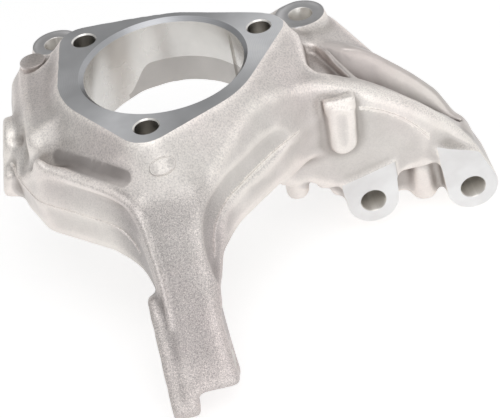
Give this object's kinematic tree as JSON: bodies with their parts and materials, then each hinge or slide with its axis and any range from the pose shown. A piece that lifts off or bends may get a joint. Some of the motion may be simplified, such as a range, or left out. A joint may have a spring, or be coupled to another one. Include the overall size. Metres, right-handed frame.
{
  "type": "steering knuckle",
  "caption": "Cast aluminium steering knuckle with a bearing bore, bolted hub face, caliper bosses, arched strut arm with bored ears, and a steering arm.",
  "frame": {"origin": "centre of the bearing bore on the machined hub face", "axes": "+Z out of the hub face along the bore, +X towards the strut ears, -Y towards the steering arm"},
  "size_m": [0.3106, 0.268, 0.1452],
  "materials": {
    "cast_aluminium": "as cast with machined faces"
  },
  "bodies": {
    "root": {"knuckle_casting": "cast_aluminium"}
  },
  "joints": []
}
